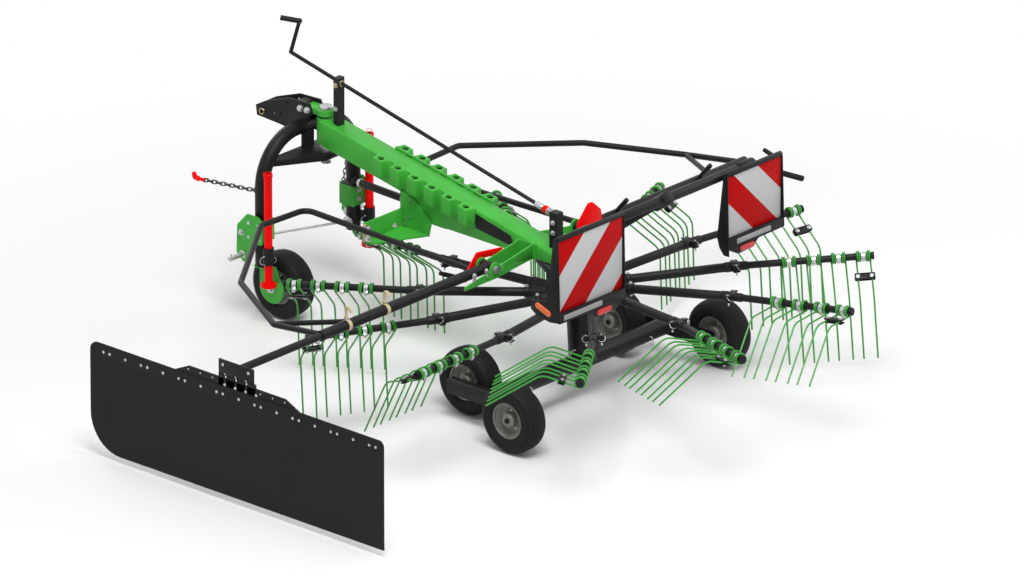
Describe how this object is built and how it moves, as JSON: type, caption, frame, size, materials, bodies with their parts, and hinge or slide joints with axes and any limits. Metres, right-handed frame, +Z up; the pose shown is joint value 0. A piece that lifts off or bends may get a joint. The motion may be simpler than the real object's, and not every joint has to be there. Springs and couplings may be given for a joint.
{
  "type": "single-rotor hay rake",
  "caption": "Towed rotary hay rake with sprung tine arms, box boom, arched headstock, four-wheel undercarriage, folding guards, windrow curtain and warning boards.",
  "frame": {"origin": "on the ground under the middle of the whole machine's box", "axes": "+Y the way it is towed, +X the machine's right side, +Z up"},
  "size_m": [4.2129, 4.2631, 1.7107],
  "materials": {
    "green_paint": "gloss",
    "green_spring": "satin",
    "black_paint": "satin",
    "black_casting": "satin",
    "red_paint": "gloss",
    "zinc_steel": "satin",
    "chain_steel": "satin",
    "reflective_board": "gloss",
    "curtain_rubber": "matte",
    "tyre": "matte",
    "rim_paint": "satin"
  },
  "bodies": {
    "chassis": {"boom": "green_paint", "arm_sockets": "green_paint", "stay_brackets": "green_paint", "guard_brackets": "green_paint", "pivot_pins": "zinc_steel", "crank": "black_paint", "swivel_pin": "zinc_steel", "gearbox": "black_casting", "undercarriage": "black_paint", "light_bar": "black_paint", "board_left": "reflective_board", "board_right": "reflective_board", "latch_lever": "red_paint"},
    "headstock": {"headstock_frame": "black_paint", "hitch_ear": "green_paint", "lower_hitch": "green_paint", "hitch_pins": "zinc_steel", "gauge_bracket": "green_paint", "check_chain": "chain_steel"},
    "rotor": {"rotor_hub": "black_paint", "arm_01": "black_paint", "arm_02": "black_paint", "arm_03": "black_paint", "arm_04": "black_paint", "arm_05": "black_paint", "arm_06": "black_paint", "arm_07": "black_paint", "arm_08": "black_paint", "arm_09": "black_paint", "arm_10": "black_paint", "arm_11": "black_paint", "tines_01": "green_spring", "tines_02": "green_spring", "tines_03": "green_spring", "tines_04": "green_spring", "tines_05": "green_spring", "tines_06": "green_spring", "tines_07": "green_spring", "tines_08": "green_spring", "tines_09": "green_spring", "tines_10": "green_spring", "tines_11": "green_spring"},
    "wheel_rear_left": {"tyre_rear_left": "tyre", "rim_rear_left": "rim_paint"},
    "wheel_front_left": {"tyre_front_left": "tyre", "rim_front_left": "rim_paint"},
    "wheel_front_right": {"tyre_front_right": "tyre", "rim_front_right": "rim_paint"},
    "wheel_rear_right": {"tyre_rear_right": "tyre", "rim_rear_right": "rim_paint"},
    "wheel_gauge": {"tyre_gauge": "tyre", "rim_gauge": "rim_paint"},
    "parking_stand_left": {"stand_left": "red_paint"},
    "parking_stand_right": {"stand_right": "red_paint"},
    "damper_barrel": {"damper_cylinder": "black_paint"},
    "damper_piston": {"damper_rod": "zinc_steel"},
    "guard_left": {"left_guard": "black_paint"},
    "guard_right": {"right_guard": "black_paint"},
    "curtain": {"curtain_tube": "black_paint", "curtain_sheet": "curtain_rubber"}
  },
  "joints": [
    {"name": "rotor_spin", "type": "hinge", "parent": "chassis", "child": "rotor", "pos_m": [0.3375, -0.4514, 0.632], "axis": [0, 0.0698, 0.9976], "continuous": true},
    {"name": "rear_left_wheel_spin", "type": "hinge", "parent": "chassis", "child": "wheel_rear_left", "pos_m": [-0.5155, -0.7354, 0.1945], "axis": [1, 0, 0], "continuous": true},
    {"name": "front_left_wheel_spin", "type": "hinge", "parent": "chassis", "child": "wheel_front_left", "pos_m": [-0.2605, -0.1814, 0.1945], "axis": [1, 0, 0], "continuous": true},
    {"name": "front_right_wheel_spin", "type": "hinge", "parent": "chassis", "child": "wheel_front_right", "pos_m": [0.9355, -0.1814, 0.1945], "axis": [1, 0, 0], "continuous": true},
    {"name": "rear_right_wheel_spin", "type": "hinge", "parent": "chassis", "child": "wheel_rear_right", "pos_m": [1.1905, -0.7354, 0.1945], "axis": [1, 0, 0], "continuous": true},
    {"name": "gauge_wheel_spin", "type": "hinge", "parent": "headstock", "child": "wheel_gauge", "pos_m": [0.0825, 1.5486, 0.1945], "axis": [1, 0, 0], "continuous": true},
    {"name": "headstock_swing", "type": "hinge", "parent": "chassis", "child": "headstock", "pos_m": [0.3375, 1.4586, 0.996], "axis": [0, 0, 1], "range_deg": [-15, 15]},
    {"name": "damper_swing", "type": "hinge", "parent": "headstock", "child": "damper_barrel", "pos_m": [0.6375, 1.5166, 0.66], "axis": [0, 0, 1], "range_deg": [-15, 15]},
    {"name": "damper_stroke", "type": "slide", "parent": "damper_barrel", "child": "damper_piston", "axis": [-0.0405, -0.9992, 0], "range_m": [-0.09, 0.09]},
    {"name": "left_stand_slide", "type": "slide", "parent": "headstock", "child": "parking_stand_left", "axis": [0, 0, -1], "range_m": [0, 0.22]},
    {"name": "right_stand_slide", "type": "slide", "parent": "headstock", "child": "parking_stand_right", "axis": [0, 0, -1], "range_m": [0, 0.22]},
    {"name": "left_guard_fold", "type": "hinge", "parent": "chassis", "child": "guard_left", "pos_m": [-0.0525, -0.1214, 0.788], "axis": [0, 1, 0], "range_deg": [0, 90]},
    {"name": "right_guard_fold", "type": "hinge", "parent": "chassis", "child": "guard_right", "pos_m": [0.7275, -0.1214, 0.788], "axis": [0, -1, 0], "range_deg": [0, 90]},
    {"name": "curtain_slide", "type": "slide", "parent": "guard_left", "child": "curtain", "axis": [1, 0, 0], "range_m": [0, 0.5]}
  ],
  "couplings": [
    {"joint": "damper_swing", "follows": "headstock_swing", "ratio": -0.9053},
    {"joint": "damper_stroke", "follows": "headstock_swing", "m_per_rad": 0.2974}
  ]
}
